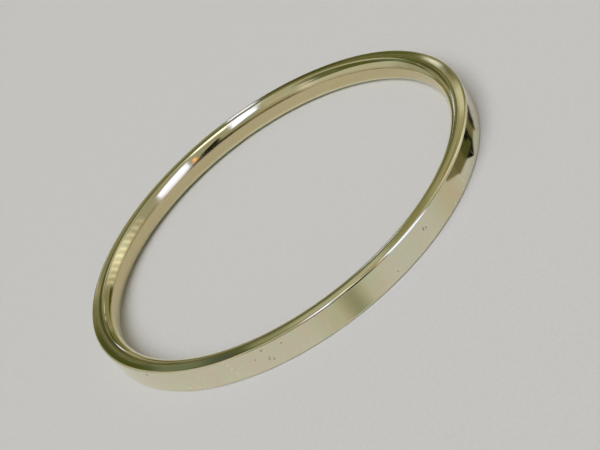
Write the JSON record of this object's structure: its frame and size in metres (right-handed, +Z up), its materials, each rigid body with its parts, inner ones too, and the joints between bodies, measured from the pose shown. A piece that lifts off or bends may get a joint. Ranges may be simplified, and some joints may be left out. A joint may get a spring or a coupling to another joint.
{
  "type": "kada bangle",
  "caption": "Plain closed round wrist bangle of polished pale gold-plated brass, flat outside with well rounded inner edges, lying on its side.",
  "frame": {"origin": "on the surface that the bangle lies on, below the centre of the ring", "axes": "+Z up, along the ring's own axis; X and Y lie in the plane of the ring, and the ring is the same in every direction about Z"},
  "size_m": [0.0686, 0.0686, 0.0044],
  "materials": {
    "plated_brass": "mirror polished, with fine hairlines and a few nicks on the outer face"
  },
  "bodies": {
    "root": {"band": "plated_brass"}
  },
  "joints": []
}
